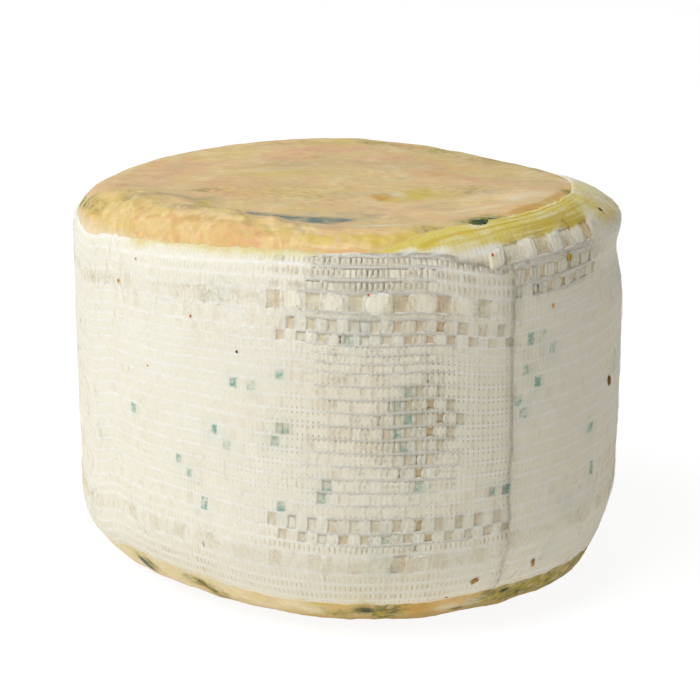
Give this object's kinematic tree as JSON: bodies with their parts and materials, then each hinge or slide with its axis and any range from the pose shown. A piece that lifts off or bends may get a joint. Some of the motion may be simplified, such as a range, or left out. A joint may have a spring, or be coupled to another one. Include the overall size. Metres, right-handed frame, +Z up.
{
  "type": "creamy sheep cheese",
  "caption": "Small whole wheel of soft sheep's cheese with a mould-spotted washed rind and a knitted lace bandage wound round its side.",
  "frame": {"origin": "middle of the bounding box, on the plane the wheel stands on", "axes": "+Z up out of the top of the wheel, -Y towards the front, where the bandage's two ends overlap, +X to the right seen from the front"},
  "size_m": [0.1097, 0.1122, 0.0802],
  "materials": {
    "rind": "soft washed cheese rind, beige to peach with yellow patches and blue-green mould",
    "cotton_lace": "undyed cotton lace, matted with white mould"
  },
  "bodies": {
    "root": {"cheese": "rind", "lace_band": "cotton_lace"}
  },
  "joints": []
}
